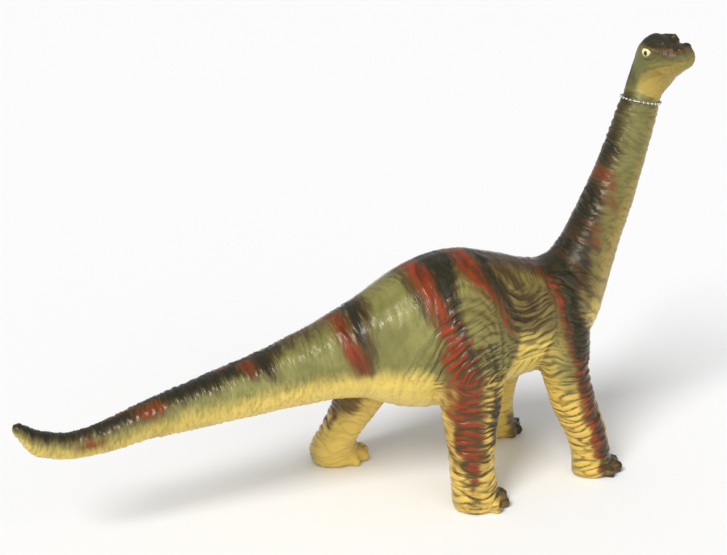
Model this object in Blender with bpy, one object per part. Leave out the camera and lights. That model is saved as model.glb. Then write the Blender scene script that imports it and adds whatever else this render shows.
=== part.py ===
"""Soft vinyl toy sauropod in mid stride, wearing a silver ball chain round its neck.

Metres, +Z up. The toy faces +X, its four soles rest at Z = 0 and the origin is at the
bottom centre of its box. The body is lofted through stations: each one is a slice that
reaches from the back line to the belly line and has its own half width.
"""

import bpy
import bmesh
import math
from mathutils import Euler, Matrix, Quaternion, Vector

MM = 0.001
GAP = 0.3  # clearance between touching pieces, mm

# The design frame has its zero on the floor under the tail root. This shift, in mm,
# takes it to the bottom centre of the whole toy's box.
ORIGIN_X = -1.2
ORIGIN_Y = 0.0

# Head pose: the head is turned to the toy's right and tips its crown the same way.
HEAD_PIVOT = (245.0, 318.0)  # x and z of the turning point at the top of the neck
HEAD_YAW = -62.0
HEAD_ROLL = 8.0

# Body stations, mm: back x, back z, belly x, belly z, half width, share of the head turn.
TAIL_TIP = [
    (-269.5, 108.0, -269.5, 104.0, 2.0, 0.0),
    (-264.0, 108.5, -265.0, 96.0, 6.0, 0.0),
    (-257.0, 104.0, -259.0, 86.5, 8.3, 0.0),
    (-247.0, 98.6, -250.0, 80.5, 8.8, 0.0),
    (-229.0, 94.4, -230.0, 75.6, 9.4, 0.0),
    (-207.0, 97.4, -205.0, 76.0, 10.9, 0.0),
    (-177.0, 107.0, -173.0, 80.7, 13.4, 0.0),
]
TAIL_MIDDLE = [
    TAIL_TIP[-1],
    (-144.0, 115.6, -139.0, 81.9, 16.8, 0.0),
    (-112.0, 123.9, -105.0, 84.1, 20.0, 0.0),
    (-78.0, 132.4, -68.0, 86.3, 23.6, 0.0),
]
TAIL_ROOT = [
    TAIL_MIDDLE[-1],
    (-45.0, 143.7, -32.0, 87.2, 28.0, 0.0),
    (-16.0, 155.0, -5.0, 84.5, 33.5, 0.0),
]
TORSO = [
    TAIL_ROOT[-1],
    (7.0, 166.5, 18.0, 75.0, 40.0, 0.0),
    (30.0, 178.8, 38.0, 68.8, 46.0, 0.0),
    (55.0, 187.6, 62.0, 67.2, 49.0, 0.0),
    (84.0, 189.5, 90.0, 71.0, 48.0, 0.0),
    (116.0, 181.0, 119.0, 78.5, 44.0, 0.0),
    (141.0, 173.5, 150.0, 83.0, 41.0, 0.0),
    (154.5, 171.5, 181.0, 94.0, 37.0, 0.0),
    (166.4, 175.5, 201.4, 122.0, 29.5, 0.0),
]
NECK_LOWER = [
    TORSO[-1],
    (174.0, 185.0, 212.5, 155.0, 24.0, 0.0),
    (181.0, 198.5, 220.5, 180.0, 21.4, 0.0),
    (192.0, 219.5, 228.8, 204.0, 19.6, 0.0),
    (202.0, 241.0, 236.0, 227.5, 18.0, 0.0),
]
NECK_UPPER = [
    NECK_LOWER[-1],
    (211.0, 263.0, 242.3, 250.5, 16.8, 0.0),
    (218.6, 284.0, 248.6, 274.5, 15.2, 0.0),
    (221.0, 290.0, 250.6, 283.4, 14.6, 0.0),
    (223.6, 294.6, 250.6, 289.6, 13.6, 0.0),
]
HEAD = [
    NECK_UPPER[-1],
    (225.2, 299.6, 253.6, 295.4, 14.2, 0.1),
    (228.2, 310.0, 259.6, 302.4, 14.9, 0.45),
    (231.8, 323.0, 265.2, 310.6, 15.1, 0.85),
    (236.2, 335.5, 269.8, 314.6, 15.2, 1.0),
    (245.0, 343.6, 273.4, 317.6, 14.8, 1.0),
    (254.0, 343.4, 276.0, 319.6, 13.6, 1.0),
    (262.5, 339.6, 278.0, 321.2, 11.8, 1.0),
    (270.2, 338.0, 279.6, 322.4, 10.4, 1.0),
    (276.2, 336.4, 280.4, 325.2, 8.4, 1.0),
]

# Legs, mm: centre x, centre y, height, fore and aft half size, sideways half size.
HIND_RIGHT = [
    (72.0, -24.0, 171.0, 11.0, 8.0),
    (72.0, -27.0, 165.0, 21.0, 13.0),
    (72.0, -30.0, 150.0, 31.0, 20.0),
    (72.0, -33.0, 126.0, 34.0, 23.0),
    (73.0, -37.0, 100.0, 28.0, 23.0),
    (71.0, -42.0, 76.0, 22.8, 21.5),
    (69.5, -46.0, 58.0, 19.8, 19.5),
    (68.5, -50.0, 42.0, 17.6, 17.5),
    (68.0, -53.0, 26.0, 17.2, 16.8),
    (69.2, -55.0, 13.0, 17.8, 16.8),
    (69.6, -57.3, 4.0, 18.6, 17.0),
    (69.6, -57.3, 1.2, 17.8, 16.2),
    (69.6, -57.3, 0.0, 16.0, 14.4),
]
HIND_LEFT = [
    (53.0, 24.0, 165.0, 11.0, 8.0),
    (52.0, 27.0, 159.0, 21.0, 13.0),
    (48.0, 30.0, 144.0, 31.0, 20.0),
    (42.0, 33.0, 118.0, 34.0, 23.0),
    (31.0, 36.0, 92.0, 28.0, 22.5),
    (20.5, 39.0, 70.0, 22.5, 21.0),
    (12.0, 43.0, 53.0, 19.6, 19.5),
    (4.5, 47.0, 38.0, 17.4, 17.5),
    (-2.0, 51.0, 25.0, 17.0, 16.8),
    (-3.0, 56.0, 13.0, 18.6, 16.8),
    (2.0, 58.7, 4.0, 21.0, 16.8),
    (2.0, 58.7, 1.2, 19.8, 15.6),
    (2.0, 58.7, 0.0, 17.2, 13.0),
]
FORE_RIGHT = [
    (161.5, -18.0, 150.0, 7.0, 6.0),
    (162.0, -21.0, 145.0, 13.0, 10.0),
    (161.5, -24.0, 132.0, 21.0, 16.0),
    (159.5, -27.0, 112.0, 22.5, 18.5),
    (158.5, -32.0, 92.0, 19.4, 18.0),
    (161.5, -36.0, 76.0, 18.2, 17.0),
    (166.0, -38.5, 60.0, 18.2, 16.5),
    (172.5, -40.5, 44.0, 17.4, 15.8),
    (178.0, -41.5, 30.0, 15.8, 14.8),
    (181.0, -43.0, 14.0, 15.6, 14.0),
    (182.5, -44.0, 4.0, 17.8, 14.6),
    (182.5, -44.0, 1.2, 16.8, 13.6),
    (182.5, -44.0, 0.0, 14.4, 11.2),
]
FORE_LEFT = [
    (158.5, 18.0, 148.0, 7.0, 6.0),
    (158.0, 21.0, 143.0, 13.0, 10.0),
    (156.0, 24.0, 130.0, 21.0, 16.0),
    (151.0, 27.0, 110.0, 22.5, 18.5),
    (145.5, 32.0, 88.0, 19.4, 18.0),
    (141.5, 36.0, 70.0, 17.6, 17.0),
    (138.5, 39.5, 54.0, 16.8, 16.5),
    (138.0, 42.0, 39.0, 16.0, 15.8),
    (140.5, 44.5, 26.0, 15.2, 14.8),
    (144.0, 47.5, 12.0, 15.2, 14.0),
    (145.5, 51.0, 4.0, 16.8, 14.6),
    (145.5, 51.0, 1.2, 15.6, 13.4),
    (145.5, 51.0, 0.0, 13.0, 10.8),
]

# Toes fan over the front of each foot: bearing from straight ahead and relative size.
TOES = [(-62.0, 0.8), (-31.0, 0.95), (0.0, 1.0), (31.0, 0.95), (62.0, 0.8)]
TOE_HALF = (11.0, 5.2, 8.0)  # length, width and height
TOE_REACH = 1.04  # where its middle sits, as a share of the foot's half size
TOE_RISE = 0.5  # the height of its middle, as a share of its half height
FLOOR_BLOCK = (120.0, 120.0, 40.0)  # the block that cuts the toes level with the sole

# Head features in the head's own frame, mm from the pivot: ahead, sideways, up.
EYE = (3.8, 12.2, 15.2)
EYE_HALF = (4.2, 3.8, 3.6)
BROW = (10.8, 8.8, 20.8)
BROW_HALF = (8.5, 3.4, 4.2)
NOSTRIL = (27.2, 5.8, 16.0)
NOSTRIL_HALF = (4.6, 3.4, 4.8)

# The ball chain: commercial beads of 3/32 inch, strung close, in a slack round loop.
BEAD_RADIUS = 1.2
BEAD_PITCH = 3.3
LINK_RADIUS = 0.55
CHAIN_CENTRE = (237.1, 292.1)  # x and z where its loop crosses the neck's middle line
CHAIN_TILT = -10.5  # the loop's lean from level, front end down
CHAIN_HALF = (15.4, 15.3)  # fore and aft, sideways
CLASP_BEARING = -8.0  # from straight ahead, to the toy's right
CLASP_LENGTH = 6.4
CLASP_RADIUS = 1.6
CLASP_STANDOFF = 0.6  # how far the sleeve is pushed out from the loop by its own thickness

SKIN_GREEN = (0.26, 0.27, 0.12)
SKIN_TAN = (0.55, 0.42, 0.16)
EYE_CREAM = (0.85, 0.78, 0.45)
STEEL = (0.78, 0.78, 0.76)

STEP_LENGTH = 12.0  # target distance between lofted slices, mm
RING = 24  # points round a body slice
LEG_RING = 18
BUMP_FACETS = (14, 8)  # segments and rings of the small ellipsoids
TOE_FACETS = (9, 6)
EYE_FACETS = (12, 8)
BEAD_FACETS = (7, 5)
CLASP_SIDES = 14
WELD = 2e-6  # points closer than this are one, m


def material(name, colour, roughness, metallic=0.0):
    """A Principled material with one colour."""
    made = bpy.data.materials.new(name)
    made.use_nodes = True
    shader = made.node_tree.nodes["Principled BSDF"]
    shader.inputs["Base Color"].default_value = (*colour, 1.0)
    shader.inputs["Roughness"].default_value = roughness
    shader.inputs["Metallic"].default_value = metallic
    made.diffuse_color = (*colour, 1.0)
    return made


def placed(x, y, z):
    """A point of the design frame, in mm, as a point of the part, in metres."""
    return Vector((x - ORIGIN_X, y - ORIGIN_Y, z)) * MM


def head_turn(share):
    """Rotation of a slice that follows this share of the head's turn."""
    full = Euler((math.radians(HEAD_ROLL), 0.0, 0.0)).to_quaternion()
    full = Euler((0.0, 0.0, math.radians(HEAD_YAW))).to_quaternion() @ full
    return Quaternion().slerp(full, share)


def head_point(ahead, side, up):
    """A point of the head's own frame, mm from its pivot, in the design frame."""
    turned = head_turn(1.0) @ Vector((ahead, side, up))
    return turned + Vector((HEAD_PIVOT[0], 0.0, HEAD_PIVOT[1]))


def smooth_rows(rows, spacing):
    """Rows between the given ones, on Catmull-Rom curves, about this far apart."""
    made = []
    for i in range(len(rows) - 1):
        before = rows[max(i - 1, 0)]
        start, end = rows[i], rows[i + 1]
        after = rows[min(i + 2, len(rows) - 1)]
        span = max(math.dist(start[0:2], end[0:2]), math.dist(start[2:4], end[2:4]))
        steps = max(2, round(span / spacing))
        for k in range(steps):
            t = k / steps
            made.append(
                tuple(
                    0.5
                    * (
                        2 * b
                        + (c - a) * t
                        + (2 * a - 5 * b + 4 * c - d) * t * t
                        + (3 * b - a - 3 * c + d) * t * t * t
                    )
                    for a, b, c, d in zip(before, start, end, after)
                )
            )
    made.append(rows[-1])
    return made


def body_slice(row):
    """The closed ring of points, in the design frame, of one body station."""
    back_x, back_z, belly_x, belly_z, half_width, share = row
    pivot = Vector((HEAD_PIVOT[0], 0.0, HEAD_PIVOT[1]))
    middle = Vector(((back_x + belly_x) / 2, 0.0, (back_z + belly_z) / 2)) - pivot
    rise = Vector(((back_x - belly_x) / 2, 0.0, (back_z - belly_z) / 2))
    turn = head_turn(min(max(share, 0.0), 1.0))
    ring = []
    for k in range(RING):
        angle = 2 * math.pi * k / RING
        across = Vector((0.0, half_width * math.cos(angle), 0.0))
        ring.append(turn @ (middle + across + rise * math.sin(angle)) + pivot)
    return ring


def leg_slice(row, grow):
    """The closed ring of points of one leg station, grown outwards by some mm."""
    x, y, z, half_x, half_y = row
    ring = []
    for k in range(LEG_RING):
        angle = 2 * math.pi * k / LEG_RING
        ring.append(
            Vector(
                (
                    x + (half_x + grow) * math.cos(angle),
                    y + (half_y + grow) * math.sin(angle),
                    z,
                )
            )
        )
    return ring


def lofted(name, rings, skin):
    """A closed object through rings of equal length, with its ends capped flat."""
    bm = bmesh.new()
    layers = [[bm.verts.new(placed(*p)) for p in ring] for ring in rings]
    count = len(rings[0])
    for lower, upper in zip(layers, layers[1:]):
        for k in range(count):
            after = (k + 1) % count
            bm.faces.new((lower[k], lower[after], upper[after], upper[k]))
    bm.faces.new(reversed(layers[0]))
    bm.faces.new(layers[-1])
    bmesh.ops.recalc_face_normals(bm, faces=bm.faces)
    return finished(name, bm, skin)


def finished(name, bm, skin):
    """The bmesh as a smooth object in the toy's collection."""
    mesh = bpy.data.meshes.new(name)
    bm.to_mesh(mesh)
    bm.free()
    mesh.materials.append(skin)
    mesh.shade_smooth()
    made = bpy.data.objects.new(name, mesh)
    TOY.objects.link(made)
    return made


def trimmed(rings, start, end):
    """Rings whose end slices are drawn in by half the gap where a neighbour touches."""
    made = [list(ring) for ring in rings]
    for here, inner, cut in ((0, 1, start), (-1, -2, end)):
        if cut:
            middle = sum(made[here], Vector()) / len(made[here])
            inward = sum(made[inner], Vector()) / len(made[inner]) - middle
            quarter = len(made[here]) // 4
            normal = (made[here][0] - middle).cross(made[here][quarter] - middle)
            normal.normalize()
            normal *= math.copysign(GAP / 2, normal.dot(inward))
            made[here] = [p + normal for p in made[here]]
    return made


def body_length(name, rows, skin, start=True, end=True):
    """One named length of the body, cut thinly from its neighbours."""
    rings = [body_slice(row) for row in smooth_rows(rows, STEP_LENGTH)]
    return lofted(name, trimmed(rings, start, end), skin)


def ellipsoid(name, centre, half, turn, skin, facets=BUMP_FACETS):
    """A closed ellipsoid, half sizes in mm, turned about its centre."""
    bm = bmesh.new()
    bmesh.ops.create_uvsphere(bm, u_segments=facets[0], v_segments=facets[1], radius=1.0)
    bm.transform(Matrix.Diagonal((*(h * MM for h in half), 1.0)))
    bm.transform(turn.to_matrix().to_4x4())
    bm.transform(Matrix.Translation(placed(*centre)))
    return finished(name, bm, skin)


def cut_or_joined(target, tools, operation):
    """The target after one Boolean with a collection of tools, which are then removed."""
    group = bpy.data.collections.new(target.name + "_tools")
    bpy.context.scene.collection.children.link(group)
    for tool in tools:
        TOY.objects.unlink(tool)
        group.objects.link(tool)
    step = target.modifiers.new("step", "BOOLEAN")
    step.operation = operation
    step.operand_type = "COLLECTION"
    step.collection = group
    step.solver = "EXACT"
    bpy.context.view_layer.update()
    evaluated = target.evaluated_get(bpy.context.evaluated_depsgraph_get())
    mesh = bpy.data.meshes.new_from_object(evaluated)
    target.modifiers.clear()
    target.data = mesh
    for tool in tools:
        bpy.data.objects.remove(tool)
    bpy.data.collections.remove(group)
    keep_largest(target)
    return target


def keep_largest(target):
    """Keeps only the largest closed surface of a mesh and makes it triangles."""
    bm = bmesh.new()
    bm.from_mesh(target.data)
    bmesh.ops.triangulate(bm, faces=bm.faces)
    bmesh.ops.remove_doubles(bm, verts=bm.verts, dist=WELD)
    bm.verts.ensure_lookup_table()
    unseen = set(bm.verts)
    shells = []
    while unseen:
        shell, front = set(), [unseen.pop()]
        while front:
            vertex = front.pop()
            shell.add(vertex)
            for edge in vertex.link_edges:
                other = edge.other_vert(vertex)
                if other in unseen:
                    unseen.discard(other)
                    front.append(other)
        shells.append(shell)
    shells.sort(key=len)
    for shell in shells[:-1]:
        bmesh.ops.delete(bm, geom=list(shell), context="VERTS")
    bm.to_mesh(target.data)
    bm.free()


def leg_loft(name, rows, skin, grow=0.0):
    """A leg from the hip or shoulder to its flat sole, grown outwards by some mm."""
    heights_first = [(z, 0.0, x, y, half_x, half_y) for x, y, z, half_x, half_y in rows]
    rings = []
    for z, _, x, y, half_x, half_y in smooth_rows(heights_first, STEP_LENGTH):
        rings.append(leg_slice((x, y, z, half_x, half_y), grow))
    for point in rings[0]:
        point.z += grow
    for point in rings[-1]:
        point.z -= grow
    return lofted(name, rings, skin)


def toe(name, sole, bearing, size, skin):
    """A blunt toe that stands out from the front of the foot."""
    x, y, _, half_x, half_y = sole
    turn = math.radians(bearing)
    centre = (
        x + half_x * TOE_REACH * math.cos(turn),
        y + half_y * TOE_REACH * math.sin(turn),
        TOE_HALF[2] * size * TOE_RISE,
    )
    half = [size * h for h in TOE_HALF]
    return ellipsoid(name, centre, half, Euler((0.0, 0.0, turn)), skin, TOE_FACETS)


def floor_cutter(sole):
    """A block under the floor below one foot."""
    bm = bmesh.new()
    bmesh.ops.create_cube(bm, size=1.0)
    bm.transform(Matrix.Diagonal((*(side * MM for side in FLOOR_BLOCK), 1.0)))
    bm.transform(Matrix.Translation(placed(sole[0], sole[1], -FLOOR_BLOCK[2] / 2)))
    return finished("floor_cutter", bm, SKIN)


def leg(name, rows, skin):
    """A leg with its five toes fused on and its sole cut level."""
    made = leg_loft(name, rows, skin)
    toes = [
        toe(f"{name}_toe_{k}", rows[-1], bearing, size, skin)
        for k, (bearing, size) in enumerate(TOES)
    ]
    cut_or_joined(made, toes, "UNION")
    return cut_or_joined(made, [floor_cutter(rows[-1])], "DIFFERENCE")


def head(skin):
    """The head with its brow ridges and nostril bumps, hollowed for the two eyes."""
    made = body_length("head", HEAD, skin, end=False)
    turn = head_turn(1.0)
    bumps = []
    for side in (-1, 1):
        for kind, place, half in (("brow", BROW, BROW_HALF), ("nostril", NOSTRIL, NOSTRIL_HALF)):
            centre = head_point(place[0], side * place[1], place[2])
            bumps.append(ellipsoid(f"{kind}_{side}", centre, half, turn, skin))
    cut_or_joined(made, bumps, "UNION")
    sockets = [eye_ball(side, GAP, skin, "socket") for side in (-1, 1)]
    return cut_or_joined(made, sockets, "DIFFERENCE")


def eye_ball(side, grow, skin, name):
    """An eye set into the side of the head, seen as a low dome."""
    centre = head_point(EYE[0], side * EYE[1], EYE[2])
    half = [h + grow for h in EYE_HALF]
    return ellipsoid(f"{name}_{side}", centre, half, head_turn(1.0), skin, EYE_FACETS)


def chain_point(bearing):
    """A point on the chain's loop, mm, at a bearing in radians from straight ahead."""
    lean = math.radians(CHAIN_TILT)
    ahead = CHAIN_HALF[0] * math.cos(bearing)
    return Vector(
        (
            CHAIN_CENTRE[0] + ahead * math.cos(lean),
            CHAIN_HALF[1] * math.sin(bearing),
            CHAIN_CENTRE[1] + ahead * math.sin(lean),
        )
    )


def bead_chain(skin):
    """Beads strung on a thin link wire, in an open loop that ends at the clasp."""
    loop_radius = sum(CHAIN_HALF) / 2
    middle = math.radians(CLASP_BEARING)
    half_clasp = (CLASP_LENGTH / 2 + GAP) / loop_radius
    free = 2 * math.pi - 2 * half_clasp
    count = round(free * loop_radius / BEAD_PITCH)
    start = middle + half_clasp
    wire = bpy.data.curves.new("link_wire", "CURVE")
    wire.dimensions = "3D"
    wire.bevel_depth = LINK_RADIUS * MM
    wire.bevel_resolution = 1
    wire.use_fill_caps = True
    spline = wire.splines.new("POLY")
    spline.points.add(count)
    for k in range(count + 1):
        spline.points[k].co = (*placed(*chain_point(start + free * k / count)), 1.0)
    made = bpy.data.objects.new("bead_chain", wire)
    TOY.objects.link(made)
    made = curve_to_mesh(made, skin)
    beads = []
    for k in range(count):
        centre = chain_point(start + free * (k + 0.5) / count)
        half = (BEAD_RADIUS,) * 3
        beads.append(ellipsoid(f"bead_{k}", centre, half, Quaternion(), skin, BEAD_FACETS))
    return cut_or_joined(made, beads, "UNION")


def curve_to_mesh(source, skin):
    """The curve as a closed mesh object of the same name."""
    bpy.context.view_layer.update()
    evaluated = source.evaluated_get(bpy.context.evaluated_depsgraph_get())
    mesh = bpy.data.meshes.new_from_object(evaluated)
    name = source.name
    bpy.data.objects.remove(source)
    bm = bmesh.new()
    bm.from_mesh(mesh)
    bmesh.ops.remove_doubles(bm, verts=bm.verts, dist=WELD)
    bmesh.ops.recalc_face_normals(bm, faces=bm.faces)
    return finished(name, bm, skin)


def clasp(skin):
    """The sleeve that closes the chain, lying along its loop at the throat."""
    bearing = math.radians(CLASP_BEARING)
    hub = (chain_point(bearing) + chain_point(bearing + math.pi)) / 2
    outward = (chain_point(bearing) - hub).normalized()
    centre = chain_point(bearing) + outward * CLASP_STANDOFF
    along = (chain_point(bearing + math.pi / 2) - hub).normalized()
    bm = bmesh.new()
    bmesh.ops.create_cone(
        bm,
        cap_ends=True,
        segments=CLASP_SIDES,
        radius1=CLASP_RADIUS * MM,
        radius2=CLASP_RADIUS * MM,
        depth=CLASP_LENGTH * MM,
    )
    bm.transform(along.to_track_quat("Z", "Y").to_matrix().to_4x4())
    bm.transform(Matrix.Translation(placed(*centre)))
    return finished("chain_clasp", bm, skin)


for old in list(bpy.data.objects):
    bpy.data.objects.remove(old)
TOY = bpy.data.collections.new("toy_sauropod")
bpy.context.scene.collection.children.link(TOY)

SKIN = material("painted_vinyl", SKIN_GREEN, 0.45)
LEG_SKIN = material("painted_vinyl_tan", SKIN_TAN, 0.45)
EYE_PAINT = material("eye_paint", EYE_CREAM, 0.25)
METAL = material("ball_chain_metal", STEEL, 0.25, 1.0)

body_length("tail_tip", TAIL_TIP, SKIN, start=False)
body_length("tail_middle", TAIL_MIDDLE, SKIN)
body_length("tail_root", TAIL_ROOT, SKIN)
body_length("neck_lower", NECK_LOWER, SKIN)
body_length("neck_upper", NECK_UPPER, SKIN)
head(SKIN)
for eye_name, eye_side in (("eye_right", -1), ("eye_left", 1)):
    eye_ball(eye_side, 0.0, EYE_PAINT, "eye").name = eye_name

LEGS = {
    "leg_hind_right": HIND_RIGHT,
    "leg_hind_left": HIND_LEFT,
    "leg_fore_right": FORE_RIGHT,
    "leg_fore_left": FORE_LEFT,
}
torso = body_length("torso", TORSO, SKIN)
cut_or_joined(torso, [leg_loft("socket", rows, SKIN, GAP) for rows in LEGS.values()], "DIFFERENCE")
for leg_name, leg_rows in LEGS.items():
    leg(leg_name, leg_rows, LEG_SKIN)

bead_chain(METAL)
clasp(METAL)
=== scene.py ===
"""A toy sauropod dinosaur in soft vinyl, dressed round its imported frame.

Lengths are millimetres in the frame's axes, x towards the chest, y to the toy's left and z up, until a
mesh is written out in metres.
"""

import math

import bmesh
import bpy
import numpy as np
from mathutils import Euler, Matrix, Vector
from mathutils.bvhtree import BVHTree


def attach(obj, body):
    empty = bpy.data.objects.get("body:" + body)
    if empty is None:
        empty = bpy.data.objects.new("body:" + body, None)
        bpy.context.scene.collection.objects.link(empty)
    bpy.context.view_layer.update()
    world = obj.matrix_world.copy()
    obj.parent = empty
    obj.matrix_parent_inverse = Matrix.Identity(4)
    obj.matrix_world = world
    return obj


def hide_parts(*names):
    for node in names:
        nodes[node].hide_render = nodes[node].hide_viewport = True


MM = 0.001
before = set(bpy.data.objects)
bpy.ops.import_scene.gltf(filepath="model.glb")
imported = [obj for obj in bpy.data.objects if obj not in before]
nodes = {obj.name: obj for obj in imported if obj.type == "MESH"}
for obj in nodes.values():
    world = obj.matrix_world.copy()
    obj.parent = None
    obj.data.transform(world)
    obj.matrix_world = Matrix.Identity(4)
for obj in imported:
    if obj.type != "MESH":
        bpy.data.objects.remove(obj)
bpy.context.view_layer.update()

# The skin
# One hollow casting of soft vinyl, from the tip of the tail to the snout, with four legs, toes and
# wrinkles from the mould. Its bare colour is a yellow tan, and the rest is sprayed on.
FLESH = (
    "tail_tip",
    "tail_middle",
    "tail_root",
    "torso",
    "leg_hind_right",
    "leg_hind_left",
    "leg_fore_right",
    "leg_fore_left",
    "neck_lower",
    "neck_upper",
    "head",
)
EYEBALLS = ("eye_right", "eye_left")
SWELL = 0.4  # closes the clearance between the frame's solids
WELD = 0.002
MESH_PITCH = 2.25
SMOOTH_ROUNDS = 14
SMOOTH_STEP = 0.5
SMOOTH_BACK = -0.53
REFINED_ROUNDS = 3
HEAD_ROUNDS = 12
SOLE_CLEARANCE = 0.05

# Slices of the body from the tail's tip to the throat: back x, back z, belly x, belly z.
SLICES = np.array(
    [
        (-268.3, 108.0, -268.3, 104.0),
        (-262.8, 108.5, -263.8, 96.0),
        (-255.8, 104.0, -257.8, 86.5),
        (-245.8, 98.6, -248.8, 80.5),
        (-227.8, 94.4, -228.8, 75.6),
        (-205.8, 97.4, -203.8, 76.0),
        (-175.8, 107.0, -171.8, 80.7),
        (-142.8, 115.6, -137.8, 81.9),
        (-110.8, 123.9, -103.8, 84.1),
        (-76.8, 132.4, -66.8, 86.3),
        (-43.8, 143.7, -30.8, 87.2),
        (-14.8, 155.0, -3.8, 84.5),
        (8.2, 166.5, 19.2, 75.0),
        (31.2, 178.8, 39.2, 68.8),
        (56.2, 187.6, 63.2, 67.2),
        (85.2, 189.5, 91.2, 71.0),
        (117.2, 181.0, 120.2, 78.5),
        (142.2, 173.5, 151.2, 83.0),
        (155.7, 171.5, 182.2, 94.0),
        (167.6, 175.5, 202.6, 122.0),
        (175.2, 185.0, 213.7, 155.0),
        (182.2, 198.5, 221.7, 180.0),
        (193.2, 219.5, 230.0, 204.0),
        (203.2, 241.0, 237.2, 227.5),
        (212.2, 263.0, 243.5, 250.5),
        (219.8, 284.0, 249.8, 274.5),
        (224.8, 294.6, 251.8, 289.6),
        (228.0, 306.0, 256.0, 300.0),
    ]
)

# Slices of the legs from the hip down: centre x, centre y, height, half length, half width.
LEGS = {
    "hind_right": np.array(
        [
            (73.2, -27.0, 165.0, 21.0, 13.0),
            (73.2, -30.0, 150.0, 31.0, 20.0),
            (73.2, -33.0, 126.0, 34.0, 23.0),
            (74.2, -37.0, 100.0, 28.0, 23.0),
            (72.2, -42.0, 76.0, 22.8, 21.5),
            (70.7, -46.0, 58.0, 19.8, 19.5),
            (69.7, -50.0, 42.0, 17.6, 17.5),
            (69.2, -53.0, 26.0, 17.2, 16.8),
            (70.4, -55.0, 13.0, 17.8, 16.8),
            (70.8, -57.3, 0.0, 18.6, 17.0),
        ]
    ),
    "hind_left": np.array(
        [
            (53.2, 27.0, 159.0, 21.0, 13.0),
            (49.2, 30.0, 144.0, 31.0, 20.0),
            (43.2, 33.0, 118.0, 34.0, 23.0),
            (32.2, 36.0, 92.0, 28.0, 22.5),
            (21.7, 39.0, 70.0, 22.5, 21.0),
            (13.2, 43.0, 53.0, 19.6, 19.5),
            (5.7, 47.0, 38.0, 17.4, 17.5),
            (-0.8, 51.0, 25.0, 17.0, 16.8),
            (-1.8, 56.0, 13.0, 18.6, 16.8),
            (3.2, 58.7, 0.0, 21.0, 16.8),
        ]
    ),
    "fore_right": np.array(
        [
            (163.2, -21.0, 145.0, 13.0, 10.0),
            (162.7, -24.0, 132.0, 21.0, 16.0),
            (160.7, -27.0, 112.0, 22.5, 18.5),
            (159.7, -32.0, 92.0, 19.4, 18.0),
            (162.7, -36.0, 76.0, 18.2, 17.0),
            (167.2, -38.5, 60.0, 18.2, 16.5),
            (173.7, -40.5, 44.0, 17.4, 15.8),
            (179.2, -41.5, 30.0, 15.8, 14.8),
            (182.2, -43.0, 14.0, 15.6, 14.0),
            (183.7, -44.0, 0.0, 17.8, 14.6),
        ]
    ),
    "fore_left": np.array(
        [
            (159.2, 21.0, 143.0, 13.0, 10.0),
            (157.2, 24.0, 130.0, 21.0, 16.0),
            (152.2, 27.0, 110.0, 22.5, 18.5),
            (146.7, 32.0, 88.0, 19.4, 18.0),
            (142.7, 36.0, 70.0, 17.6, 17.0),
            (139.7, 39.5, 54.0, 16.8, 16.5),
            (139.2, 42.0, 39.0, 16.0, 15.8),
            (141.7, 44.5, 26.0, 15.2, 14.8),
            (145.2, 47.5, 12.0, 15.2, 14.0),
            (146.7, 51.0, 0.0, 16.8, 14.6),
        ]
    ),
}

HEAD_PIVOT = np.array((246.2, 0.0, 318.0))
HEAD_TURN = Euler((0, 0, math.radians(-62))).to_matrix() @ Euler((math.radians(8), 0, 0)).to_matrix()
CHAIN_CENTRE = np.array((238.3, 0.0, 292.1))
CHAIN_TILT = math.radians(-10.5)
EYE_AT = (3.8, 12.2, 15.2)
EYE_FINE = 9.0
EYE_CLEAR = 7
LEFT_HIP_BACK = 22  # how much further back the left hind leg stands at its thigh
NECK_FROM = 19  # the slice where the neck starts
LEG_REACH = 9.0  # in half widths of a leg, past which a point is on none
LEG_SKIN = (1.08, 1.35)  # between these, in half widths, a leg gives way to the torso
FREE_BELOW = 66  # below this height there are only legs
FREE_FIT = 2.5
HIP_BLEND = (45, 8)  # below a leg's top, where it goes over into the body


def swollen_copy(names, swell):
    """One mesh of these solids' merged copies, each pushed outwards by swell."""
    whole = bmesh.new()
    for name in names:
        part = bmesh.new()
        part.from_mesh(nodes[name].data)
        bmesh.ops.remove_doubles(part, verts=part.verts, dist=WELD * MM)
        part.normal_update()
        for vert in part.verts:
            vert.co += vert.normal * swell * MM
        step = bpy.data.meshes.new("step")
        part.to_mesh(step)
        part.free()
        whole.from_mesh(step)
        bpy.data.meshes.remove(step)
    mesh = bpy.data.meshes.new("copy")
    whole.to_mesh(mesh)
    whole.free()
    return mesh


def evaluated(piece):
    """The mesh that the piece's modifiers make; the piece itself is removed."""
    seen = piece.evaluated_get(bpy.context.evaluated_depsgraph_get())
    mesh = bpy.data.meshes.new_from_object(seen)
    bpy.data.objects.remove(piece)
    return mesh


def remeshed(mesh, pitch):
    piece = bpy.data.objects.new("remesh", mesh)
    bpy.context.scene.collection.objects.link(piece)
    change = piece.modifiers.new("remesh", "REMESH")
    change.mode = "VOXEL"
    change.voxel_size = pitch * MM
    bpy.context.view_layer.update()
    return evaluated(piece)


def points_of(mesh):
    flat = np.empty(len(mesh.vertices) * 3)
    mesh.vertices.foreach_get("co", flat)
    return flat.reshape(-1, 3) / MM


def move_points(mesh, places):
    mesh.vertices.foreach_set("co", (places * MM).ravel())
    mesh.update()


def normals_of(mesh):
    flat = np.empty(len(mesh.vertices) * 3)
    mesh.vertex_normals.foreach_get("vector", flat)
    return flat.reshape(-1, 3)


def edges_of(mesh):
    flat = np.empty(len(mesh.edges) * 2, int)
    mesh.edges.foreach_get("vertices", flat)
    return flat.reshape(-1, 2)


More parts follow.
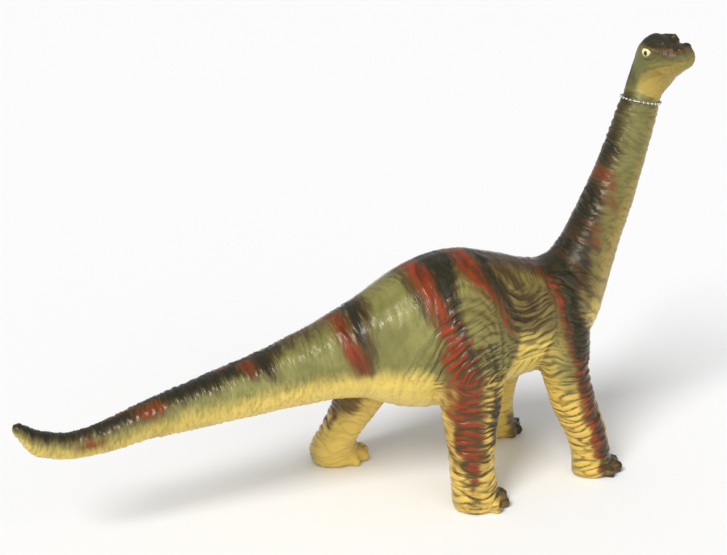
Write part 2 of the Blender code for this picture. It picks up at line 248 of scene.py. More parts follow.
def neighbour_mean(values, edges):
    """Each vertex's mean over its neighbours, for one or more columns of values."""
    count = len(values)
    valence = np.bincount(edges.ravel(), minlength=count)
    columns = []
    for column in values.reshape(count, -1).T:
        total = np.bincount(edges[:, 0], column[edges[:, 1]], count)
        total += np.bincount(edges[:, 1], column[edges[:, 0]], count)
        columns.append(total / np.maximum(valence, 1))
    return np.stack(columns, 1).reshape(values.shape)


def smoothed(places, edges, rounds):
    """Smooths out the solids' facets without shrinking thin parts."""
    for _ in range(rounds):
        for step in (SMOOTH_STEP, SMOOTH_BACK):
            places = places + step * (neighbour_mean(places, edges) - places)
    return places


def ramp(value, low, high):
    """0 at low and 1 at high, easing in and out."""
    share = np.clip((value - low) / (high - low), 0, 1)
    return share * share * (3 - 2 * share)


class Body:
    """Where each vertex is on the body: along it, from back to belly, and in its leg or head."""

    def __init__(self, places):
        self.places = places
        self.x, self.y, self.z = places.T
        back = LEFT_HIP_BACK * (1 - ramp(self.x, 100, 140))
        self.x_right = np.where(self.y > 0, self.x + back * ramp(185 - self.z, 20, 80), self.x)
        self.find_slice()
        self.find_leg()
        self.find_head()

    def find_slice(self):
        back = SLICES[:, :2]
        belly = SLICES[:, 2:]
        down = belly - back
        depth = np.linalg.norm(down, axis=1)
        ahead = np.stack((-down[:, 1], down[:, 0]), 1) / depth[:, None]
        flat = self.places[:, (0, 2)]
        past = flat @ ahead.T - (back * ahead).sum(1)
        between = (past[:, :-1] >= 0) & (past[:, 1:] < 0)
        first = np.argmax(between, axis=1)
        beyond = ~between.any(axis=1)
        first[beyond & (past[:, 0] >= 0)] = len(SLICES) - 2
        rows = np.arange(len(flat))
        gap = past[rows, first] - past[rows, first + 1]
        share = np.clip(past[rows, first] / gap, 0, 1)
        middle = (back + belly) / 2
        steps = np.linalg.norm(np.diff(middle, axis=0), axis=1)
        length = np.concatenate(((0,), np.cumsum(steps)))
        self.s = length[first] + share * steps[first]
        top = back[first] + share[:, None] * (back[first + 1] - back[first])
        low = belly[first] + share[:, None] * (belly[first + 1] - belly[first])
        self.depth = depth[first] + share * (depth[first + 1] - depth[first])
        self.v = ((flat - top) * (low - top)).sum(1) / self.depth**2
        self.lengths = length

    def find_leg(self):
        """The nearest leg, how much of a vertex is on it, the run down it, and the place across it."""
        count = len(self.x)
        self.leg = np.full(count, "", dtype="U12")
        self.limb, self.t, self.fore_aft, self.side, self.off_x, self.off_y = np.zeros((6, count))
        best = np.full(count, LEG_REACH)
        for name, rows in LEGS.items():
            up = rows[::-1]
            centre_x, centre_y, half_x, half_y = (
                np.interp(self.z, up[:, 2], up[:, k]) for k in (0, 1, 3, 4)
            )
            steps = np.linalg.norm(np.diff(rows[:, :3], axis=0), axis=1)
            length = np.concatenate(((0,), np.cumsum(steps)))
            slant = np.gradient(rows[:, 0], length)
            t = np.interp(self.z, up[:, 2], length[::-1])
            lean = np.interp(self.z, up[:, 2], slant[::-1])
            off_x = self.x - centre_x
            off_y = self.y - centre_y
            radial = np.hypot(off_x / half_x, off_y / half_y)
            mine = radial < best
            best = np.where(mine, radial, best)
            share = np.maximum(1 - ramp(radial, *LEG_SKIN), (self.z < FREE_BELOW) * (radial < FREE_FIT))
            top = rows[0, 2]
            found = {
                "leg": name,
                "limb": share * (1 - ramp(self.z, top - HIP_BLEND[0], top - HIP_BLEND[1])),
                "t": t + off_x * lean,
                "fore_aft": off_x / half_x,
                "side": off_y / half_y * math.copysign(1, rows[0, 1]),
                "off_x": off_x,
                "off_y": off_y,
            }
            for field, value in found.items():
                setattr(self, field, np.where(mine, value, getattr(self, field)))

    def find_head(self):
        self.a, self.b, self.c = ((self.places - HEAD_PIVOT) @ np.array(HEAD_TURN)).T
        up = np.array((-math.sin(CHAIN_TILT), 0, math.cos(CHAIN_TILT)))
        self.above_chain = (self.places - CHAIN_CENTRE) @ up
        self.head = ramp(self.above_chain, -1, 14)

    def from_spot(self, spot):
        """Distance, mm, from a spot of the head or from its mirror image on the other side."""
        off = np.stack((self.a, abs(self.b), self.c), 1) - np.array(spot)
        return np.linalg.norm(off, axis=1)


def split_edges(mesh, chosen):
    """Halves the chosen edges."""
    bm = bmesh.new()
    bm.from_mesh(mesh)
    bm.edges.ensure_lookup_table()
    picked = [bm.edges[k] for k in np.flatnonzero(chosen)]
    bmesh.ops.subdivide_edges(bm, edges=picked, cuts=1, use_grid_fill=True)
    bm.to_mesh(mesh)
    bm.free()


def edge_runs(mesh):
    """Each edge's direction, and where its middle is on the body."""
    places = points_of(mesh)
    ends = edges_of(mesh)
    run = places[ends[:, 1]] - places[ends[:, 0]]
    run = abs(run) / np.linalg.norm(run, axis=1)[:, None]
    return run, Body(places[ends].mean(1))


def refine(mesh):
    """More points across the folds of the tail, neck and legs, and all over the flanks and the head."""
    run, at = edge_runs(mesh)
    tail = (at.x < -8) & (run[:, 0] > 0.8) & (at.z > 72)
    neck = (at.s > at.lengths[NECK_FROM + 1]) & (run[:, 2] > 0.7) & (at.above_chain < 0)
    creased = (at.x_right > 38) & (at.x < 186) & (at.z > 96) & (at.z < 176) & (abs(at.y) > 22)
    legs = (at.limb > 0.5) & (run[:, 2] > 0.7) & (at.z > 3) & (at.z < 98)
    split_edges(mesh, tail | neck | creased | legs | (at.above_chain > 2))
    _, at = edge_runs(mesh)
    split_edges(mesh, at.from_spot(EYE_AT) < EYE_FINE)


def drawn_to(mesh, shape_tree):
    """The mesh's points, with the head's drawn onto the solids that the remeshing softened."""
    places = points_of(mesh)
    at = Body(places)
    for k in np.flatnonzero((at.above_chain > 6) & (at.from_spot(EYE_AT) > EYE_CLEAR)):
        places[k] = np.array(shape_tree.find_nearest(Vector(places[k] * MM))[0]) / MM
    return places


solids = swollen_copy(FLESH + EYEBALLS, SWELL)
solid_tree = BVHTree.FromPolygons(
    [vert.co for vert in solids.vertices], [tuple(face.vertices) for face in solids.polygons]
)
shape = remeshed(solids, MESH_PITCH)
move_points(shape, smoothed(points_of(shape), edges_of(shape), SMOOTH_ROUNDS))
refine(shape)
refined = smoothed(drawn_to(shape, solid_tree), edges_of(shape), REFINED_ROUNDS)
calmer = smoothed(refined, edges_of(shape), HEAD_ROUNDS)
refined += ramp(Body(refined).above_chain, 4, 12)[:, None] * (calmer - refined)
refined[:, 2] = np.maximum(refined[:, 2], SOLE_CLEARANCE)
move_points(shape, refined)
body = Body(refined)

LATTICE = 64
NOISE_GAIN = 1.6


def noise(points, seed):
    """Smooth noise, about -1 to 1, at points counted in cells."""
    slopes = np.random.default_rng(seed).uniform(-1, 1, (LATTICE, LATTICE, LATTICE, 3))
    cell = np.floor(points).astype(int)
    part = points - cell
    ease = part**3 * (part * (part * 6 - 15) + 10)
    total = np.zeros(len(points))
    for corner in np.ndindex(2, 2, 2):
        i, j, k = ((cell + corner) % LATTICE).T
        pull = (slopes[i, j, k] * (part - corner)).sum(1)
        total += pull * np.where(corner, ease, 1 - ease).prod(1)
    return total * NOISE_GAIN


def creases(points, seed, width):
    """Rounded cushions parted by narrow valleys: 0 in a valley and 1 on a cushion."""
    return 1 - np.exp(-((noise(points, seed) / width) ** 2))


def distance_to(path, x, z):
    """Distance from (x, z) to a path of such points, and the share of the path's length there."""
    path = np.array(path, float)
    near = np.full(len(x), 1e9)
    share = np.zeros(len(x))
    count = len(path) - 1
    for k in range(count):
        start = path[k]
        run = path[k + 1] - start
        at = np.clip(((x - start[0]) * run[0] + (z - start[1]) * run[1]) / (run @ run), 0, 1)
        far = np.hypot(x - start[0] - at * run[0], z - start[1] - at * run[1])
        share = np.where(far < near, (k + at) / count, share)
        near = np.minimum(far, near)
    return near, share


# Creases seen from the side, as x and z: depth, width, then the path. The left side's are shifted back.
THIGH_CREASES = (
    (1.3, 3.0, ((93, 148), (96, 132), (96, 114), (92, 98))),
    (1.2, 1.8, ((50, 146), (57, 154), (68, 158.5), (79, 155), (86, 146), (90, 132))),
    (0.8, 1.6, ((48, 152), (56, 162), (68, 166), (80, 163), (89, 152))),
    (0.8, 1.6, ((50, 166), (59, 172), (70, 174), (82, 170), (91, 158))),
    (0.8, 1.6, ((55, 144), (62, 149), (72, 150), (80, 145), (85, 134))),
    (0.7, 1.6, ((58, 136), (66, 140), (74, 139), (81, 131), (84, 121))),
    (0.7, 1.6, ((60, 127), (68, 130), (76, 126), (81, 118))),
    (0.7, 1.6, ((92, 125), (100, 118), (108, 112), (116, 108))),
)
CHEST_CREASES = (
    (0.9, 1.7, ((103, 160), (108, 151), (117, 147.5), (127, 149), (136, 156))),
    (1.2, 1.8, ((99, 158), (105, 147), (117, 140.5), (131, 141.5), (143, 148))),
    (1.0, 1.8, ((98, 150), (104, 139), (114, 132.5), (127, 132), (140, 138))),
    (0.8, 1.8, ((97, 130), (104, 119), (114, 114), (128, 115), (138, 121))),
    (0.8, 1.8, ((97, 141), (104, 129), (114, 123), (127, 123), (139, 129))),
    (0.9, 1.8, ((100, 178), (106, 165), (116, 157), (130, 157), (140, 163))),
    (0.35, 1.8, ((142, 170), (148, 150), (146, 130), (140, 112), (141, 100))),
    (0.8, 1.8, ((152, 168), (157, 150), (158, 132), (154, 116))),
    (0.8, 1.8, ((166, 170), (176, 158), (186, 147), (197, 140))),
    (0.8, 1.8, ((172, 176), (182, 165), (194, 157), (206, 152))),
    (0.8, 1.8, ((164, 158), (174, 146), (184, 135), (194, 128))),
    (0.7, 1.8, ((168, 144), (178, 132), (188, 121))),
)
LIP = 0.35  # how high the skin is pushed up beside a crease, as a share of the crease's depth


def path_creases(table):
    """The depth, in mm, that a table of creases cuts into each side."""
    cut = np.zeros(len(body.x))
    for depth, width, path in table:
        away, share = distance_to(path, body.x_right, body.z)
        ends = ramp(share, 0, 0.15) * (1 - ramp(share, 0.85, 1))
        cut += depth * ends * np.exp(-((away / width) ** 2))
        cut -= LIP * depth * ends * np.exp(-(((away - 2 * width) / width) ** 2))
    return cut * ramp(abs(body.y), 8, 24)


# Where the folds run another way than round the body: arcs round these points, as x and z.
THIGH_CENTRE = (88, 92)
CHEST_CENTRE = (120, 184)
ARC_RUN = 50
FORE_FROM = 110  # from this x on, a leg is a fore leg
neck_start = body.lengths[NECK_FROM]
neck_part = ramp(body.s, neck_start - 25, neck_start + 15)
trunk_at = np.stack((body.s, body.y, body.v * body.depth), 1)
limb_at = np.stack((body.t, body.off_x, body.off_y), 1)
head_at = np.stack((body.a, body.b, body.c), 1)


def wandering(at, size, amount, seed):
    """Places whose first column, across the folds, wanders by an amount in mm."""
    moved = at.copy()
    moved[:, 0] += amount * noise(trunk_at / size, seed)
    return moved


def arcs_round(centre):
    """Places as the distance from a centre on the body's side, the run round it, and the width."""
    x, z = body.x_right - centre[0], body.z - centre[1]
    return np.stack((np.hypot(x, z), np.arctan2(z, x) * ARC_RUN, body.y), 1)


def chest_share():
    share = ramp(body.x_right, 99, 111) * (1 - ramp(body.x, 140, 152)) * ramp(abs(body.y), 18, 32)
    return share * ramp(body.z, 102, 114) * (1 - ramp(body.z, 160, 172))


def shoulder_share():
    share = ramp(body.x, 143, 152) * (1 - ramp(body.x, 180, 192)) * ramp(abs(body.y), 14, 24)
    return share * ramp(body.z, 112, 124) * (1 - ramp(body.z, 160, 176))


def thigh_share():
    x, z = body.x_right - THIGH_CENTRE[0], body.z - THIGH_CENTRE[1]
    share = (1 - ramp(np.hypot(x, z), 62, 82)) * ramp(z, 2, 24) * ramp(abs(body.y), 22, 34)
    return share * (1 - ramp(body.x_right, 86, 95))


patchy = ramp(noise(trunk_at / 25, 10), -0.3, 0.5)
rolls_at = np.stack((body.z + 0.35 * body.x_right, body.x, body.y), 1)
# 1 on a leg's outer side and 0.4 on its inner side; through the limb value it also paints the inner sides
# a brighter tan, which is painted light.
outside = 0.4 + 0.6 * ramp(body.side, -0.5, 0.4)
fore = body.x > FORE_FROM
leg_pitch = np.where(fore, 3.4, 3.9)
# Each kind: share, places, pitch and run of its folds, depth, width of a valley, fine depth, seed.
FOLD_KINDS = (
    (1.0, wandering(trunk_at, 30, 2.5, 1), 2.3, 12, 0.45 + 0.4 * patchy, 0.24, 0.3, 2),
    (ramp(body.x, -55, -5), wandering(trunk_at, 30, 9, 1), 4.6, 45, 0.25 + 0.55 * patchy, 0.2, 0.1, 4),
    (neck_part, wandering(trunk_at, 30, 5, 1), 2.8, 14, 0.4 + 0.55 * patchy, 0.24, 0.3, 6),
    (chest_share(), wandering(arcs_round(CHEST_CENTRE), 16, 3.5, 21), 4.4, 60, 1.7, 0.28, 0.2, 20),
    (shoulder_share(), wandering(rolls_at, 18, 2, 24), 4.2, 30, 1.9, 0.32, 0.4, 22),
    (body.limb, wandering(limb_at, 16, 3, 11), leg_pitch, 24, 1.25 * outside, 0.3, 0.4 * outside, 8),
    (thigh_share(), wandering(arcs_round(THIGH_CENTRE), 16, 2.5, 26), 3.4, 70, 1.6, 0.2, 0.15, 25),
)


def stretched(at, pitch, run):
    return np.stack((at[:, 0] / pitch, at[:, 1] / run, at[:, 2] / run), 1)


def over_kinds(pattern):
    """A pattern of every kind of fold, each where it belongs."""
    total = np.zeros(len(body.x))
    for share, *kind in FOLD_KINDS:
        total = total * (1 - share) + pattern(*kind) * share
    return total


def fold_height(at, pitch, run, depth, width, fine, seed):
    """The height, in mm from the deepest crease, of one kind of fold."""
    ripple = noise(stretched(at, 0.75 * np.asarray(pitch), 0.45 * run), seed + 1)
    return depth * creases(stretched(at, pitch, run), seed, width) + fine * ripple


def streak_height(at, pitch, run, depth, width, fine, seed):
    """Streaks that run with the folds, about -1 to 1, for the edges of the paint."""
    return 0.6 * noise(stretched(at, 2.4, 16), seed + 60) + 0.6 * noise(stretched(at, 6, 30), seed + 90)


def bell(value, middle, half):
    return np.exp(-(((value - middle) / half) ** 2))


MOUTH_HEIGHT = 11.2
NOSTRIL_HOLE = (31.4, 5.6, 17.6)
LID_RISE = 0.4
BROW_BUMPS = ((1.2, 2.2, (15.5, 9.5, 24)), (-0.5, 3, (9.5, 7, 25)), (0.5, 2.5, (3, 2, 26.5)))
BROW = ((-3, 19.5), (3, 20.5), (9, 21.3), (16, 21.5), (22, 20))
SNOUT_RIPPLE = 2.4
# The loose skin of the cheek and throat: depth of a crease, then its path in the head's own frame.
HEAD_CREASES = (
    (0.6, ((2, 11.2), (5, 9.8), (9, 11), (12, 13.5))),
    (0.5, ((4, 8.6), (8, 8), (12, 9.4), (16, 11.5))),
    (0.6, ((8, 17), (12, 15.6), (16, 17.2))),
    (0.5, ((-2, -2), (6, 2.5), (14, 5.5), (24, 7.5))),
    (0.4, ((0, -8), (8, -4), (15, -1))),
)


def eye_opening():
    """Distance, mm, outside the rounded triangle that the lids leave open."""
    ahead = body.a - EYE_AT[0]
    up = body.c - EYE_AT[2] - LID_RISE
    corner = np.hypot(ahead / 3.7, up / 3.0) * 3.0 - 3.0
    wedge = np.maximum(up - 2.0, 0.8 * np.abs(ahead - 0.2) - (up + 2.8)) * 0.9
    return 0.5 * (corner + wedge)


def lid_relief():
    """The swollen rims of the lids, and the opening between them."""
    out = eye_opening()
    near_eye = 1 - ramp(body.from_spot(EYE_AT), 6.0, 8.5)
    relief = near_eye * (1.1 * bell(out, 0.9, 0.8) - 1.6 * ramp(-out, -0.3, 0.6))
    return relief + near_eye * 0.45 * bell(out, 3.0, 0.7)


def snout_relief():
    """The brows and their bumps, the mouth's line, the nostrils and the snout's fine ripples."""
    brow, share = distance_to(BROW, body.a, body.c)
    relief = 0.8 * bell(brow, 0, 1.3) * ramp(abs(body.b), 4, 8) * ramp(share, 0, 0.2)
    relief -= 0.4 * bell(body.c, MOUTH_HEIGHT, 0.7) * ramp(body.a, 23, 32)
    for size, spread, place in BROW_BUMPS:
        relief += size * bell(body.from_spot(place), 0, spread)
    relief -= bell(body.from_spot(NOSTRIL_HOLE), 0, 1.2)
    snout = bell(body.a, 20, 7) * bell(body.c, 15.5, 4.5)
    return relief + 0.1 * snout * np.sin(2 * math.pi * (body.a + 0.25 * body.c) / SNOUT_RIPPLE)


def head_relief():
    """What the head's sculpting adds, in mm."""
    relief = lid_relief() + snout_relief()
    for depth, path in HEAD_CREASES:
        away, share = distance_to(path, body.a, body.c)
        relief -= depth * bell(away, 0, 0.9) * ramp(abs(body.b), 4, 9) * ramp(share, 0, 0.2)
    rough = 1 - 0.6 * ramp(body.c, 18, 21)
    relief += rough * (0.2 * noise(head_at / 2.2, 12) + 0.12 * noise(head_at / np.array((1.6, 5, 5)), 13))
    return relief * ramp(body.above_chain, 6, 16)


FOLD_SINK = 0.3  # sets the folds in, because their heights only add
CREST_ROUNDS = 6
fold = over_kinds(fold_height) - path_creases(THIGH_CREASES) - path_creases(CHEST_CREASES)
fold = fold * (1 - 0.85 * body.head) + head_relief()
fold *= 0.3 + 0.7 * ramp(body.z, 0, 6)
skin_points = refined + normals_of(shape) * (fold - FOLD_SINK)[:, None]
skin_points[:, 2] = np.maximum(skin_points[:, 2], 0)
move_points(shape, skin_points)
local_mean = fold
for _ in range(CREST_ROUNDS):
    local_mean = neighbour_mean(local_mean, edges_of(shape))
crest = np.clip((fold - local_mean) / (0.3 + 0.25 * body.limb), -1, 1)

# Where the paint lies. Each field is in mm: above 0 inside the colour, 0 at its edge.
RED_PATHS = (
    ((-21, 157, 3), (-22.5, 147, 4.5), (-22, 138, 5), (-19, 130, 5), (-14, 118, 3.5)),
    ((40, 185, 7), (44, 179, 7.5), (44, 172, 6.5), (46, 165, 6), (47, 155, 6), (50, 148, 6.5)),
    ((50, 148, 6.5), (54, 137, 6), (55, 126, 6), (56, 110, 5)),
    ((78, 190, 7), (78, 184, 7), (83, 177, 5.5), (89, 171, 4), (94, 160, 1)),
    ((90, 170, 2), (96, 160, 0.5), (98, 150, 0), (101, 140, -1), (106, 128, -3)),
    ((147, 168, 3), (150, 160, 4), (152, 148, 3), (157, 134, 3), (160, 120, 3.5), (161, 106, 3)),
    ((-97, 132, 3.5), (-96, 126, 3.5), (-95, 122, 0)),
    ((-180, 102, 0), (-169, 105, 2), (-160, 107, 0)),
    ((-224, 86, 0), (-217, 87, 1), (-208, 88, -0.5)),
    ((202, 240, 1), (205, 234, 2.5), (207, 226, -1)),
    ((205, 222, -1), (206, 218, 0), (208, 212, -2)),
    ((189, 200, -1), (193, 194, 0.5), (192, 186, -1)),
)
BLACK_PATHS = (
    ((-8, 162, 5), (-12, 152, 4), (-13, 142, 2), (-12, 132, -1.5), (-9, 122, -3)),
    ((58, 190, 11), (58, 182, 9), (55, 173, 6), (57, 165, 3.5), (57, 150, 1), (61, 137, 1)),
    ((61, 137, 1), (66, 122, 1.5), (70, 112, 1.5)),
    ((95, 190, 8), (92, 183, 5.5), (95, 175, 4.5), (99, 166, 3.5), (103, 157, 2.5), (108, 147, 2)),
    ((108, 147, 2), (118, 140, 1), (131, 141, 0)),
    ((156, 174, 10), (163, 166, 9), (163, 153, 7), (163, 138, 6), (165, 124, 7), (168, 108, 8)),
    ((-85, 137, 6), (-84, 128, 4.5), (-82, 122, 1)),
    ((80, 128, -2), (85, 116, 1), (88, 104, 1), (84, 92, 1), (85, 80, 5), (83, 68, 6), (82, 54, 1)),
)
UMBER_PATHS = (
    ((30, 184, 4), (33, 172, 4), (36, 160, 2.5), (42, 145, 0)),
    ((-6, 160, 3), (-9, 140, 4), (-9, 128, 4), (-7, 116, 2)),
    ((105, 184, 6), (112, 172, 4), (118, 160, 3), (124, 150, 1), (128, 143, 0)),
    ((92, 165, 2), (98, 150, 2), (104, 138, 0)),
    ((118, 182, 3), (128, 176, 2), (140, 172, 3), (150, 172, 5)),
    ((172, 168, 6), (178, 156, 4), (182, 146, 0)),
    ((182, 190, 5), (190, 184, 1), (196, 180, -3)),
)
# Bands down the outside of each leg: height, place across it, half width, as shares of its half length.
RED_ON_LEGS = {
    "hind": ((130, -0.5, 0.2), (90, -0.48, 0.36), (50, -0.48, 0.36), (24, -0.4, 0.1), (8, -0.4, -0.4)),
    "fore": ((118, 0.2, 0.3), (88, 0.4, 0.36), (60, 0.35, 0.36), (28, 0.2, 0.4), (12, 0.1, 0.0)),
}
BLACK_ON_LEGS = {
    "hind": ((120, -0.1, 0.35), (80, -0.15, 0.45), (60, -0.25, 0.5), (38, -0.35, 0.5), (20, -0.4, 0.1)),
    "fore": ((120, 0.35, 0.35), (90, 0.55, 0.35), (60, 0.5, 0.3), (30, 0.5, 0.25), (8, 0.5, 0.4)),
}
# The most that each colour's field comes to there, which keeps the black to a thin mist.
MOST_RED = {"hind": 4.0, "fore": 4.0}
MOST_BLACK = {"hind": -2.4, "fore": 0.4}
# How far down from the back the dark reaches, as a share of the depth, by x along the tail and torso.
BACK_X = (-268, -250, -208, -186, -142, -110, -90, -80, -66, -20, 20, 90, 110, 135, 150, 170)
BACK_SHARE = (0.4, 0.22, 0.17, 0.2, 0.13, 0.1, 0.14, 0.08, 0.01, -0.03, -0.05, 0, 0.02, 0.03, 0.12, 0.32)
NECK_BACK_Z = (170, 190, 205, 225, 240, 256, 272, 292)
NECK_BACK_SHARE = (0.31, 0.25, 0.18, 0.09, 0.04, 0.1, 0.02, 0.01)
TAN_X = (-268, -210, -172, -100, -60, -15, 36, 99, 112, 136, 170)
TAN_SHARE = (0.6, 0.57, 0.5, 0.49, 0.53, 0.58, 0.61, 0.6, 0.5, 0.55, 0.62)
NECK_TAN_SHARE = (0.56, 0.57, 0.58, 0.63, 0.67, 0.71, 0.74, 0.76)
JAW_A = (-8, -4, -2, 1, 7.2, 15.6, 23, 30, 36)
JAW_C = (-40, -18, -10, -5, 0.8, 5.1, 6.5, 8.3, 9)
FAR = -60.0


def path_paint(table):
    """Bands on both sides of the body."""
    field = np.full(len(body.x), FAR)
    for rows in table:
        rows = np.array(rows, float)
        away, share = distance_to(rows[:, :2], body.x_right, body.z)
        half = np.interp(share * (len(rows) - 1), np.arange(len(rows)), rows[:, 2])
        field = np.maximum(field, half - away)
    return field


band_sway = 0.22 * noise(limb_at / 9, 40)


def leg_paint(table, most):
    """Bands down the outside of the legs."""
    field = np.full(len(body.x), FAR)
    for name in LEGS:
        kind = name.split("_")[0]
        rows = np.array(table[kind][::-1])
        centre = np.interp(body.z, rows[:, 0], rows[:, 1])
        half = np.interp(body.z, rows[:, 0], rows[:, 2])
        inside = (half - abs(body.fore_aft - centre - band_sway)) * 18
        inside = np.minimum(inside, 1.5 * inside)
        inside = np.minimum(inside, rows[-1, 0] + 6 - body.z)
        inside = np.minimum(inside, (body.side + 0.15) * 20)
        inside = np.minimum(inside, most[kind])
        mine = (body.leg == name) & (body.limb > 0.25)
        field = np.where(mine, inside, field)
    return field


def share_paint(limit, sign):
    """A colour that starts at a share of the body's depth and goes on to the back or the belly."""
    return sign * (body.v - limit) * body.depth


back_limit = np.interp(body.x, BACK_X, BACK_SHARE) * (1 - neck_part)
back_limit += np.interp(body.z, NECK_BACK_Z, NECK_BACK_SHARE) * neck_part
tan_limit = np.interp(body.x, TAN_X, TAN_SHARE) * (1 - neck_part)
tan_limit += np.interp(body.z, NECK_BACK_Z, NECK_TAN_SHARE) * neck_part
on_head = ramp(body.above_chain, 2, 10)


def toe_paint():
    """The dark toes; those of the left hind foot are bare."""
    toes = np.minimum((body.fore_aft - 0.6 + 0.25 * fore) * 16, 17 - body.z + 8 * fore)
    return np.where((body.leg != "hind_left") & (body.limb > 0.4), toes, FAR)


def belly_paint():
    """The bare tan of the belly, the legs and the jaw, which the olive left free."""
    low = share_paint(tan_limit, 1)
    low = low * (1 - body.limb) + np.minimum(low, 12) * body.limb
    edge = bell(body.fore_aft, -1.1, 0.4) * bell(body.z, 6, 22) + 0.6 * bell(body.fore_aft, 1.1, 0.3)
    edge += 0.5 * fore * bell(body.fore_aft, -0.35, 0.35) * bell(body.z, 85, 22)
    field = low + body.limb * (3 - 18 * ramp(body.z + 16 * fore, 60, 130)) - 16 * edge * body.limb
    jaw = np.interp(body.a, JAW_A, JAW_C) - body.c
    return field * (1 - on_head) + jaw * on_head


def back_paint():
    field = np.where(body.limb > 0.5, FAR, share_paint(back_limit, -1))
    return np.where(body.above_chain > 12, FAR, field - 4 * on_head)


def red_paint():
    field = np.maximum(path_paint(RED_PATHS), leg_paint(RED_ON_LEGS, MOST_RED))
    return np.where(body.head > 0.1, FAR, field)


def black_paint(toes):
    # Black over the upper chest, fading out lower down; the spray lays it deepest in the valleys of the
    # folds.
    dark_upper_chest = 6 * chest_share() - 8.5 - 4 * (1 - ramp(body.z, 112, 140))
    legs = leg_paint(BLACK_ON_LEGS, MOST_BLACK)
    field = np.maximum.reduce((path_paint(BLACK_PATHS), legs, toes - 9, dark_upper_chest))
    return np.where(body.head > 0.1, FAR, field)


def umber_paint(toes):
    """Brown beside the black, and on the left hock, the toes, the snout and the nape."""
    hock = 9 - np.hypot((body.fore_aft + 0.9) * 20, (body.z - 65) / 1.2)
    hock = np.where((body.leg == "hind_left") & (body.limb > 0.25), hock, FAR)
    field = np.maximum.reduce((path_paint(UMBER_PATHS), hock, toes))
    snout = 4.5 - np.hypot((body.a - 22) / 1.8, (body.c - 17.5) / 0.8)
    nape = (-11 - body.a) - 0.35 * np.maximum(body.c, -20)
    nape = np.minimum(nape, np.minimum(2 - body.c, 11 - abs(body.b + 3)))
    return np.where(body.head > 0.5, np.maximum(snout, nape), field)


def cap_paint():
    """The dark crown; the left brow's bump is left rust."""
    field = np.where(body.head > 0.3, body.c - 19.6 + 1.2 * bell(body.a, 28, 4), FAR)
    peak = np.linalg.norm(head_at - np.array(BROW_BUMPS[0][2]), axis=1)
    return field - 6 * bell(peak, 0, 3)


def warmth():
    """1 where the olive goes over into earth brown."""
    warm = ramp(body.x_right, 50, 90) * (1 - 0.6 * ramp(body.z, 205, 260)) * (1 - body.head)
    return warm * (1 - 0.8 * body.limb)


def paleness():
    """How far the tan goes from ochre to its brightest."""
    pale = (1 - neck_part) * (1 - 0.35 * ramp(-body.x, 40, 120))
    thigh = np.where(body.limb > 0.3, 1 - 0.35 * ramp(body.z, 50, 110), 1)
    return pale * thigh * (1 - 0.45 * chest_share())


dark_toes = toe_paint()
paint = {
    "back": back_paint(),
    "belly": belly_paint(),
    "red": red_paint(),
    "black": black_paint(dark_toes),
    "umber": umber_paint(dark_toes),
    "cap": cap_paint(),
    "cheek": np.maximum(on_head, 0.5 * neck_part),
    "warm": warmth(),
    "pale": paleness(),
    "streak": over_kinds(streak_height),
}
grain = trunk_at
for share, at, *_ in FOLD_KINDS[3:]:
    grain = np.where(share[:, None] > 0.5, at, grain)


def add_values(mesh, name, values):
    kind = "FLOAT" if values.ndim == 1 else "FLOAT_VECTOR"
    layer = mesh.attributes.new(name, kind, "POINT")
    layer.data.foreach_set("value" if kind == "FLOAT" else "vector", values.astype(float).ravel())


for name, values in paint.items():
    add_values(shape, name, values)
add_values(shape, "crest", crest)
# The legs, weaker on their inner sides: there the skin takes the brighter tan, which is painted light.
add_values(shape, "limb", body.limb * outside)
add_values(shape, "grain", grain)


class Nodes:
    """A node tree whose nodes are added one after another."""

    def __init__(self, tree):
        self.tree = tree

    def link(self, source, target):
        if hasattr(source, "is_output"):
            self.tree.links.new(source, target)
        else:
            target.default_value = source

    def node(self, kind, inputs, output=0, **settings):
        made = self.tree.nodes.new(kind)
        for key, value in settings.items():
            setattr(made, key, value)
        for key, value in inputs.items():
            self.link(value, made.inputs[key])
        return made.outputs[output]


class Finish(Nodes):
    """A material built round one Principled shader."""

    def __init__(self, name):
        self.material = bpy.data.materials.new(name)
        self.material.use_nodes = True
        super().__init__(self.material.node_tree)
        self.shader = self.tree.nodes["Principled BSDF"]

    def set(self, **inputs):
        """Sets the shader's inputs, named with _ for each space."""
        for name, value in inputs.items():
            self.link(value, self.shader.inputs[name.replace("_", " ")])

    def value(self, name, output="Fac"):
        return self.node("ShaderNodeAttribute", {}, output, attribute_name=name)

    def math(self, operation, first, second):
        return self.node("ShaderNodeMath", {0: first, 1: second}, operation=operation)

    def noise(self, at, scale):
        return self.node("ShaderNodeTexNoise", {"Vector": at, "Scale": scale, "Detail": 3.0})

    def scaled(self, at, factors):
        return self.node("ShaderNodeVectorMath", {0: at, 1: factors}, operation="MULTIPLY")

    def step(self, value, low, high, start=0.0, end=1.0):
        """start where value is low, end where it is high, easing between."""
        inputs = {"Value": value, "From Min": low, "From Max": high, "To Min": start, "To Max": end}
        return self.node("ShaderNodeMapRange", inputs, interpolation_type="SMOOTHSTEP")

    def blend(self, share, first, second):
        inputs = {0: share, 6: first, 7: second}
        return self.node("ShaderNodeMix", inputs, 2, data_type="RGBA")

    def bump(self, height, distance, strength):
        inputs = {"Height": height, "Distance": distance, "Strength": strength}
        self.set(Normal=self.node("ShaderNodeBump", inputs))


